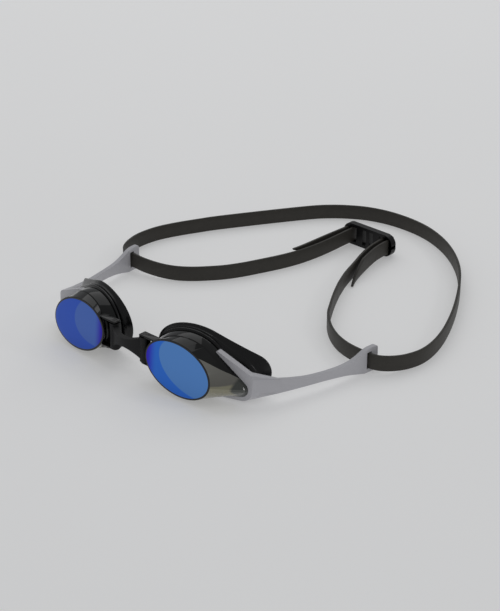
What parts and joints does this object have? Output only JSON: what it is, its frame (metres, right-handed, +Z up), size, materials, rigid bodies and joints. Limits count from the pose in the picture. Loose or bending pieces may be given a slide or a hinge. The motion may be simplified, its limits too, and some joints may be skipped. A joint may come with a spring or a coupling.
{
  "type": "swim goggles",
  "caption": "Low-profile racing swim goggles: hard cups with soft gaskets, clip-on nose bridge, forked side arms and a narrow strap joined by a rear buckle.",
  "frame": {"origin": "centre of the whole loop, on the surface that the goggles lie on", "axes": "+X to the wearer's left, -Y to the front (the side of the windows), +Z up"},
  "size_m": [0.1986, 0.2254, 0.0313],
  "materials": {
    "mirrored_lens": "moulded polycarbonate with a blue mirror coating on the window and a smoked olive surround",
    "gasket_rubber": "moulded satin",
    "bridge_rubber": "moulded matte",
    "arm_plastic": "moulded, silver grey satin",
    "strap_silicone": "moulded matte, charcoal",
    "buckle_plastic": "moulded satin, black"
  },
  "bodies": {
    "bridge": {"nose_bridge": "bridge_rubber", "strap": "strap_silicone"},
    "left_eye": {"left_lens": "mirrored_lens", "left_gasket": "gasket_rubber", "left_arm": "arm_plastic"},
    "right_eye": {"right_lens": "mirrored_lens", "right_gasket": "gasket_rubber", "right_arm": "arm_plastic"},
    "buckle": {"strap_buckle": "buckle_plastic"}
  },
  "joints": [
    {"name": "left_bridge_flex", "type": "hinge", "parent": "bridge", "child": "left_eye", "pos_m": [0.0103, -0.1075, 0.017], "axis": [0, 0, 1], "range_deg": [-8, 8], "stiffness_Nm_per_rad": 0.15, "deforming": ["strap"]},
    {"name": "right_bridge_flex", "type": "hinge", "parent": "bridge", "child": "right_eye", "pos_m": [-0.0103, -0.1075, 0.017], "axis": [0, 0, -1], "range_deg": [-8, 8], "stiffness_Nm_per_rad": 0.15, "deforming": ["strap"]},
    {"name": "buckle_adjust", "type": "slide", "parent": "bridge", "child": "buckle", "axis": [0, -1, 0], "range_m": [-0.01, 0.02], "deforming": ["strap"]}
  ]
}
